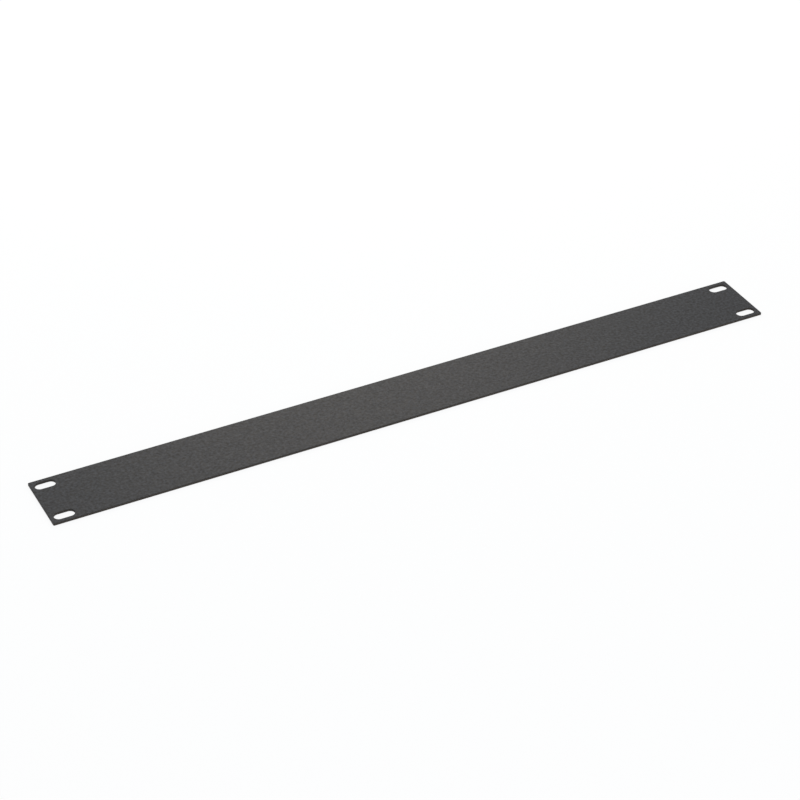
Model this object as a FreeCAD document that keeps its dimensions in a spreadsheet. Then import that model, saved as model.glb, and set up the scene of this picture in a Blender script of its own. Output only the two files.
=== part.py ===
import FreeCAD, Part
import math
import os
import Sketcher

# Rack blanking panel, one rack unit high: a flat strip of coated sheet steel with four
# round-ended mounting slots. It is one piece.
#
# Millimetres. X runs along the panel, Y across it and Z out of its front face. The origin is
# the centre of the back face, which seats on the rack's rails and on which the panel lies.
# The slot centres come out at the rack's 465.1 by 31.75 hole pattern.

DIMENSIONS = [
    # alias, value, what it sets
    ("panel_length", 482.6, "overall length of a 19 inch front panel"),
    ("panel_height", 43.6, "one rack unit of 44.45 less the gap to the next panel"),
    ("sheet_thickness", 1.5, "sheet steel with its coat"),
    ("corner_radius", 0.8, "the four corners of the outline"),
    ("slot_inset_x", 8.75, "a slot's centre from the end of the panel"),
    ("slot_inset_y", 5.925, "a slot's centre from the long edge of the panel"),
    ("slot_length", 12.7, "a slot from end to end"),
    ("slot_width", 6.4, "a slot across, which clears an M6 screw"),
    ("front_edge_radius", 0.25, "rolled edge on the punched side, round outline and slots"),
    ("back_edge_radius", 0.1, "coated edge on the back, round outline and slots"),
]
SHEET_NAME = "Dimensions"
SLOTS_EACH_WAY = 2
# Edges this close to a plane lie in it, and volumes this close to each other are equal.
PLANE_TOLERANCE = 1e-4
VOLUME_TOLERANCE = 0.01


def add_dimensions(doc):
    """Put each driving dimension in a row of the spreadsheet, under its alias."""
    sheet = doc.addObject("Spreadsheet::Sheet", SHEET_NAME)
    for row, (alias, value, meaning) in enumerate(DIMENSIONS, start=1):
        sheet.set("A%d" % row, alias)
        sheet.set("B%d" % row, str(value))
        sheet.set("C%d" % row, meaning)
        sheet.setAlias("B%d" % row, alias)
    doc.recompute()
    return sheet


def cell(alias):
    """The expression that reads one dimension."""
    return "%s.%s" % (SHEET_NAME, alias)


def spacing(overall, inset):
    """The expression for the distance between two slots set in from opposite edges."""
    return "(%s - 2 * %s)" % (cell(overall), cell(inset))


def origin_feature(body, role):
    """One of the body's own origin planes or axes."""
    return next(item for item in body.Origin.OriginFeatures if item.Role == role)


def add_sketch(body, name):
    """A sketch on the plane of the panel's back face."""
    sketch = body.newObject("Sketcher::SketchObject", name)
    sketch.AttachmentSupport = [(origin_feature(body, "XY_Plane"), "")]
    sketch.MapMode = "FlatFace"
    return sketch


def add_size(sketch, name, expression, *constraint):
    """A named sketch dimension, bound to the spreadsheet."""
    index = sketch.addConstraint(Sketcher.Constraint(*constraint))
    sketch.renameConstraint(index, name)
    sketch.setExpression("Constraints." + name, expression)


def draw_outline(body, sheet):
    """The panel's outline, a rectangle centred on the origin."""
    sketch = add_sketch(body, "PanelOutline")
    half_x = sheet.panel_length / 2
    half_y = sheet.panel_height / 2
    places = [(-half_x, -half_y), (half_x, -half_y), (half_x, half_y), (-half_x, half_y)]
    corners = [FreeCAD.Vector(x, y, 0) for x, y in places]
    for start, end in zip(corners, corners[1:] + corners[:1]):
        sketch.addGeometry(Part.LineSegment(start, end), False)
    lower, right, upper, left = range(len(corners))
    for line, following in ((lower, right), (right, upper), (upper, left), (left, lower)):
        sketch.addConstraint(Sketcher.Constraint("Coincident", line, 2, following, 1))
    for line in (lower, upper):
        sketch.addConstraint(Sketcher.Constraint("Horizontal", line))
    for line in (right, left):
        sketch.addConstraint(Sketcher.Constraint("Vertical", line))
    sketch.addConstraint(Sketcher.Constraint("Symmetric", lower, 1, upper, 1, -1, 1))
    add_size(sketch, "length", cell("panel_length"),
             "DistanceX", lower, 1, lower, 2, sheet.panel_length)
    add_size(sketch, "height", cell("panel_height"),
             "DistanceY", right, 1, right, 2, sheet.panel_height)
    return sketch


def draw_slot(body, sheet):
    """The lower left slot: two half circles joined by two lines along the panel."""
    sketch = add_sketch(body, "SlotOutline")
    radius = sheet.slot_width / 2
    reach = (sheet.slot_length - sheet.slot_width) / 2
    centre = FreeCAD.Vector(sheet.slot_inset_x - sheet.panel_length / 2,
                            sheet.slot_inset_y - sheet.panel_height / 2, 0)
    along = FreeCAD.Vector(reach, 0, 0)
    across = FreeCAD.Vector(0, radius, 0)
    normal = FreeCAD.Vector(0, 0, 1)
    quarter = math.pi / 2

    def half_circle(middle, first_angle):
        circle = Part.Circle(middle, normal, radius)
        return sketch.addGeometry(Part.ArcOfCircle(circle, first_angle, first_angle + math.pi))

    left = half_circle(centre - along, quarter)
    right = half_circle(centre + along, -quarter)
    lower = sketch.addGeometry(
        Part.LineSegment(centre - along - across, centre + along - across))
    upper = sketch.addGeometry(
        Part.LineSegment(centre + along + across, centre - along + across))
    for first, second in ((left, lower), (lower, right), (right, upper), (upper, left)):
        sketch.addConstraint(Sketcher.Constraint("Tangent", first, 2, second, 1))
    sketch.addConstraint(Sketcher.Constraint("Equal", left, right))
    sketch.addConstraint(Sketcher.Constraint("Horizontal", lower))

    middle = sketch.addGeometry(Part.Point(centre), True)
    sketch.addConstraint(Sketcher.Constraint("Symmetric", left, 3, right, 3, middle, 1))
    add_size(sketch, "width", cell("slot_width"),
             "Diameter", left, sheet.slot_width)
    add_size(sketch, "arc_centres", cell("slot_length") + " - " + cell("slot_width"),
             "DistanceX", left, 3, right, 3, 2 * reach)
    add_size(sketch, "from_origin_x", spacing("panel_length", "slot_inset_x") + " / 2",
             "DistanceX", middle, 1, -1, 1, -centre.x)
    add_size(sketch, "from_origin_y", spacing("panel_height", "slot_inset_y") + " / 2",
             "DistanceY", middle, 1, -1, 1, -centre.y)
    return sketch


def add_slots(body, sheet):
    """Cut one slot through the sheet and repeat it at the other three corners."""
    pocket = body.newObject("PartDesign::Pocket", "Slot")
    pocket.Profile = draw_slot(body, sheet)
    pocket.Type = "ThroughAll"
    # The sketch lies on the back face, so the cut runs up through the sheet.
    pocket.Reversed = True
    pattern = body.newObject("PartDesign::LinearPattern", "Slots")
    pattern.Originals = [pocket]
    pattern.Direction = (origin_feature(body, "X_Axis"), [""])
    pattern.Direction2 = (origin_feature(body, "Y_Axis"), [""])
    pattern.setExpression("Length", spacing("panel_length", "slot_inset_x"))
    pattern.setExpression("Length2", spacing("panel_height", "slot_inset_y"))
    pattern.Occurrences = SLOTS_EACH_WAY
    pattern.Occurrences2 = SLOTS_EACH_WAY
    body.Tip = pattern
    return pattern


def stands_up(edge):
    """Whether an edge runs through the sheet."""
    return edge.BoundBox.ZLength > PLANE_TOLERANCE


def lies_at(height):
    """A test for the edges that lie flat at one height."""
    def test(edge):
        box = edge.BoundBox
        return max(abs(box.ZMin - height), abs(box.ZMax - height)) < PLANE_TOLERANCE
    return test


def add_fillet(body, name, wanted, radius_alias):
    """Round the picked edges of the body as it stands."""
    body.Document.recompute()
    base = body.Tip
    picked = ["Edge%d" % number for number, edge in enumerate(base.Shape.Edges, start=1)
              if wanted(edge)]
    fillet = body.newObject("PartDesign::Fillet", name)
    fillet.Base = (base, picked)
    fillet.setExpression("Radius", cell(radius_alias))
    body.Tip = fillet
    return fillet


def check_slots(before, after, sheet):
    """Stop unless the slots took away as much metal as they hold."""
    straight = sheet.slot_length - sheet.slot_width
    slot_area = math.pi * (sheet.slot_width / 2) ** 2 + straight * sheet.slot_width
    expected = SLOTS_EACH_WAY ** 2 * slot_area * sheet.sheet_thickness
    removed = before.Volume - after.Volume
    if abs(removed - expected) > VOLUME_TOLERANCE:
        raise RuntimeError("slots removed %.3f mm3, not %.3f" % (removed, expected))


def build_panel(doc, sheet):
    """The whole panel: padded outline, rounded corners, slots and softened face edges."""
    body = doc.addObject("PartDesign::Body", "blanking_panel")
    body.Label = "blanking_panel"
    body.Placement = FreeCAD.Placement()

    strip = body.newObject("PartDesign::Pad", "Strip")
    strip.Profile = draw_outline(body, sheet)
    strip.setExpression("Length", cell("sheet_thickness"))
    body.Tip = strip

    corners = add_fillet(body, "Corners", stands_up, "corner_radius")
    slots = add_slots(body, sheet)
    add_fillet(body, "FrontEdges", lies_at(sheet.sheet_thickness), "front_edge_radius")
    add_fillet(body, "BackEdges", lies_at(0), "back_edge_radius")
    doc.recompute()
    check_slots(corners.Shape, slots.Shape, sheet)
    return body


def check_document(doc, bodies):
    """Stop unless every object was computed and every body is one sound solid."""
    for item in doc.Objects:
        if "Invalid" in item.State or "Error" in item.State:
            raise RuntimeError("%s was not computed: %s" % (item.Name, item.State))
    for body in bodies:
        if body.Shape.isNull() or not body.Shape.isValid() or len(body.Shape.Solids) != 1:
            raise RuntimeError("%s is not one sound solid" % body.Label)


def main():
    doc = FreeCAD.newDocument("RackBlankingPanel")
    sheet = add_dimensions(doc)
    bodies = [build_panel(doc, sheet)]
    check_document(doc, bodies)
    os.makedirs("parts", exist_ok=True)
    for body in bodies:
        body.Shape.exportStep("parts/%s.step" % body.Label)
        box = body.Shape.optimalBoundingBox()
        print("%s: %.2f x %.2f x %.2f mm, volume %.1f mm3" % (
            body.Label, box.XLength, box.YLength, box.ZLength, body.Shape.Volume))


main()
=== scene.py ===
import math

import bpy
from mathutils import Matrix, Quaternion, Vector


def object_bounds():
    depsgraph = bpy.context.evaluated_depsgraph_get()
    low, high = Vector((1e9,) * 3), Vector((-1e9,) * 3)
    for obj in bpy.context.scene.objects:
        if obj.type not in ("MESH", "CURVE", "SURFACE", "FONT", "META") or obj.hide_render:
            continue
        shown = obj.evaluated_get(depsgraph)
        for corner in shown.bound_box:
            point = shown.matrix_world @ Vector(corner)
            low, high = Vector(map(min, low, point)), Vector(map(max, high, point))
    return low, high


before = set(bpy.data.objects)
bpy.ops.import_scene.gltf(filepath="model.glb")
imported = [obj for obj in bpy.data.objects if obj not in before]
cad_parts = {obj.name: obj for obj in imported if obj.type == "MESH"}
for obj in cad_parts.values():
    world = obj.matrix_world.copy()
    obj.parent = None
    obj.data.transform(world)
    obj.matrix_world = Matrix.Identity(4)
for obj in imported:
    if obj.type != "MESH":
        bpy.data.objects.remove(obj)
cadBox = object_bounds()
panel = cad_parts["blanking_panel"]
print("frame loaded, panel", [round(high - low, 4) for low, high in zip(*cadBox)])


# node helpers: addNode makes one node and sets its sockets and options by name

# a Mix node's colour sockets, by number because their names repeat
mixFactor = 0
mixFirst = 6
mixSecond = 7
mixResult = 2


def newTree(name):
    material = bpy.data.materials.new(name)
    material.use_nodes = True
    material.node_tree.nodes.clear()
    return material, material.node_tree


def addNode(tree, kind, location, options=None, **sockets):
    node = tree.nodes.new(kind)
    node.location = location
    for name, value in (options or {}).items():
        setattr(node, name, value)
    for name, value in sockets.items():
        node.inputs[name.replace("_", " ")].default_value = value
    return node


# powder coat: near black, dark and light grains on a faintly pebbled skin, with painted light on
# the cut walls

powderCoat = {
    "darkGrey": (0.002, 0.0022, 0.0026, 1),
    "lightGrey": (0.032, 0.0343, 0.0402, 1),
    "grainFrom": 0.28,      # the middle of the noise's range, where most of it lies
    "grainTo": 0.72,
    "wallPaintedLight": (0.034, 0.028, 0.0235, 1),     # painted light: a lighter, warmer colour on the upright cut walls, standing in for the warm light they catch
    "wallLightFrom": 0.75,       # the size of a normal's Z: the front face has 1, a cut edge 0
    "wallLightTo": 0.35,
    "smoothest": 0.50,
    "roughest": 0.66,
    "pebbleScale": 600,     # grains and pebbles to the metre
    "flowScale": 420,
    "noiseDetail": 2,
    "pebbleHeight": 0.00004,    # metres, like flowHeight
    "flowHeight": 0.00004,
    "specular": 0.2,
}


def makePowderCoat(look):
    material, tree = newTree("powderCoat")
    link = tree.links.new
    coords = addNode(tree, "ShaderNodeTexCoord", (-1300, 0))
    pebbles = addNode(tree, "ShaderNodeTexVoronoi", (-1050, 200), {"feature": "SMOOTH_F1"},
                      Scale=look["pebbleScale"])
    speckle = addNode(tree, "ShaderNodeTexNoise", (-1050, -100),
                      Scale=look["pebbleScale"], Detail=look["noiseDetail"])
    flow = addNode(tree, "ShaderNodeTexNoise", (-1050, -400),
                   Scale=look["flowScale"], Detail=look["noiseDetail"])
    for texture in (pebbles, speckle, flow):
        link(coords.outputs["Object"], texture.inputs["Vector"])

    grain = addNode(tree, "ShaderNodeMapRange", (-850, 300),
                    From_Min=look["grainFrom"], From_Max=look["grainTo"])
    link(speckle.outputs["Fac"], grain.inputs["Value"])
    tint = addNode(tree, "ShaderNodeMix", (-600, 300), {"data_type": "RGBA"})
    tint.inputs[mixFirst].default_value = look["darkGrey"]
    tint.inputs[mixSecond].default_value = look["lightGrey"]
    link(grain.outputs["Result"], tint.inputs[mixFactor])

    # painted light: faces that stand upright, the cut walls, take the lighter, warmer wall
    # colour in place of the coat's grains
    facing = addNode(tree, "ShaderNodeSeparateXYZ", (-1050, 550))
    link(coords.outputs["Normal"], facing.inputs["Vector"])
    flatness = addNode(tree, "ShaderNodeMath", (-850, 550), {"operation": "ABSOLUTE"})
    link(facing.outputs["Z"], flatness.inputs[0])
    wallLightMask = addNode(tree, "ShaderNodeMapRange", (-650, 550),
                     From_Min=look["wallLightFrom"], From_Max=look["wallLightTo"])
    link(flatness.outputs["Value"], wallLightMask.inputs["Value"])
    coat = addNode(tree, "ShaderNodeMix", (-350, 300), {"data_type": "RGBA"})
    coat.inputs[mixSecond].default_value = look["wallPaintedLight"]
    link(wallLightMask.outputs["Result"], coat.inputs[mixFactor])
    link(tint.outputs[mixResult], coat.inputs[mixFirst])

    matte = addNode(tree, "ShaderNodeMapRange", (-600, 50),
                    To_Min=look["smoothest"], To_Max=look["roughest"])
    link(flow.outputs["Fac"], matte.inputs["Value"])

    pebbleBump = addNode(tree, "ShaderNodeBump", (-600, -200), Distance=look["pebbleHeight"])
    link(pebbles.outputs["Distance"], pebbleBump.inputs["Height"])
    flowBump = addNode(tree, "ShaderNodeBump", (-350, -200), Distance=look["flowHeight"])
    link(flow.outputs["Fac"], flowBump.inputs["Height"])
    link(pebbleBump.outputs["Normal"], flowBump.inputs["Normal"])

    shader = addNode(tree, "ShaderNodeBsdfPrincipled", (0, 0),
                     Specular_IOR_Level=look["specular"])
    link(coat.outputs[mixResult], shader.inputs["Base Color"])
    link(matte.outputs["Result"], shader.inputs["Roughness"])
    link(flowBump.outputs["Normal"], shader.inputs["Normal"])
    output = addNode(tree, "ShaderNodeOutputMaterial", (300, 0))
    link(shader.outputs["BSDF"], output.inputs["Surface"])
    return material


panel.data.materials.clear()
panel.data.materials.append(makePowderCoat(powderCoat))
print("panel painted")


# floor and background

floorLook = {
    "size": 12.0,
    "drop": 0.00005,        # under the back face, so that the two share no plane
    "color": (0.92, 0.9, 0.88, 1),
    "whiteShare": 0.85,     # how much plain white the floor shows where it is seen or mirrored
}
worldLook = {
    "color": (0.9, 0.95, 1.0, 1),
    "strength": 0.62,
}
plainWhite = (1, 1, 1, 1)


# 1 where a surface is seen straight, in a reflection or through something clear, else 0
def raysInView(tree):
    rays = addNode(tree, "ShaderNodeLightPath", (-1000, 200))
    mirrored = addNode(tree, "ShaderNodeMath", (-800, 200), {"operation": "ADD"})
    shown = addNode(tree, "ShaderNodeMath", (-600, 200), {"operation": "ADD", "use_clamp": True})
    tree.links.new(rays.outputs["Is Glossy Ray"], mirrored.inputs[0])
    tree.links.new(rays.outputs["Is Transmission Ray"], mirrored.inputs[1])
    tree.links.new(rays.outputs["Is Camera Ray"], shown.inputs[0])
    tree.links.new(mirrored.outputs["Value"], shown.inputs[1])
    return shown.outputs["Value"]


def addFloor(look):
    height = cadBox[0].z - look["drop"]
    bpy.ops.mesh.primitive_plane_add(size=look["size"], location=(0, 0, height))
    floor = bpy.context.object
    floor.name = "floor"
    material, tree = newTree("paleFloor")
    link = tree.links.new
    share = addNode(tree, "ShaderNodeMath", (-300, 200), {"operation": "MULTIPLY"})
    share.inputs[1].default_value = look["whiteShare"]
    link(raysInView(tree), share.inputs[0])
    lit = addNode(tree, "ShaderNodeBsdfDiffuse", (-300, 0), Color=look["color"])
    white = addNode(tree, "ShaderNodeEmission", (-300, -200), Color=plainWhite, Strength=1)
    mix = addNode(tree, "ShaderNodeMixShader", (0, 0))
    output = addNode(tree, "ShaderNodeOutputMaterial", (200, 0))
    link(share.outputs["Value"], mix.inputs[0])
    link(lit.outputs["BSDF"], mix.inputs[1])
    link(white.outputs["Emission"], mix.inputs[2])
    link(mix.outputs["Shader"], output.inputs["Surface"])
    floor.data.materials.append(material)


def lightWorld(look):
    world = bpy.data.worlds.new("studio")
    bpy.context.scene.world = world
    world.use_nodes = True
    tree = world.node_tree
    tree.nodes.clear()
    link = tree.links.new
    soft = addNode(tree, "ShaderNodeBackground", (-300, 0), Color=look["color"],
                   Strength=look["strength"])
    white = addNode(tree, "ShaderNodeBackground", (-300, -200), Color=plainWhite, Strength=1)
    mix = addNode(tree, "ShaderNodeMixShader", (0, 0))
    output = addNode(tree, "ShaderNodeOutputWorld", (200, 0))
    link(raysInView(tree), mix.inputs[0])
    link(soft.outputs["Background"], mix.inputs[1])
    link(white.outputs["Background"], mix.inputs[2])
    link(mix.outputs["Shader"], output.inputs["Surface"])


addFloor(floorLook)
lightWorld(worldLook)
print("floor and world ready")


# camera and lamps, placed round the middle of the panel by azimuth (0 looks along +Y,
# 90 along -X) and elevation, in degrees

cameraView = {
    "azimuth": -26.774,
    "elevation": 34.959,
    "roll": -0.292,
    "distance": 1.45233,
    "lens": 106.773,
    "aim": (-0.00923, -0.00052, 0.0),
    "clipStart": 0.05,
    "clipEnd": 50,
}
lamps = {
    "softbox": {
        "azimuth": 159.5, "elevation": 24.0, "distance": 1.2,
        "width": 0.6, "depth": 0.4, "power": 6.0, "color": (1.0, 0.9, 0.77),
    },
    "overhead": {
        "azimuth": -60.0, "elevation": 80.0, "distance": 2.0,
        "width": 1.8, "depth": 1.8, "power": 17.0, "color": (0.8, 0.91, 1.0),
    },
    "fill": {
        "azimuth": 20.0, "elevation": 7.0, "distance": 1.6,
        "width": 0.8, "depth": 0.2, "power": 7.0, "color": (1.0, 0.9, 0.82),
    },
}


def directionTo(azimuth, elevation):
    turn, rise = math.radians(azimuth), math.radians(elevation)
    return Vector((math.sin(turn) * math.cos(rise),
                   -math.cos(turn) * math.cos(rise),
                   math.sin(rise)))


def placeLooking(item, aim, azimuth, elevation, distance, roll=0.0):
    outward = directionTo(azimuth, elevation)
    item.location = Vector(aim) + outward * distance
    item.rotation_mode = "QUATERNION"
    level = (-outward).to_track_quat("-Z", "Y")
    item.rotation_quaternion = level @ Quaternion((0, 0, 1), math.radians(roll))


def addCamera(look):
    camera = bpy.data.objects.new("camera", bpy.data.cameras.new("camera"))
    bpy.context.scene.collection.objects.link(camera)
    camera.data.lens = look["lens"]
    camera.data.clip_start = look["clipStart"]
    camera.data.clip_end = look["clipEnd"]
    placeLooking(camera, look["aim"], look["azimuth"], look["elevation"], look["distance"],
                 look["roll"])
    bpy.context.scene.camera = camera


def addLamp(name, look):
    lamp = bpy.data.objects.new(name, bpy.data.lights.new(name, "AREA"))
    bpy.context.scene.collection.objects.link(lamp)
    lamp.data.shape = "RECTANGLE"
    lamp.data.size = look["width"]
    lamp.data.size_y = look["depth"]
    lamp.data.energy = look["power"]
    lamp.data.color = look["color"]
    placeLooking(lamp, (0, 0, 0), look["azimuth"], look["elevation"], look["distance"])


addCamera(cameraView)
for name, look in lamps.items():
    addLamp(name, look)
bpy.context.scene.view_settings.view_transform = "Standard"
print("camera and", len(lamps), "lamps placed")
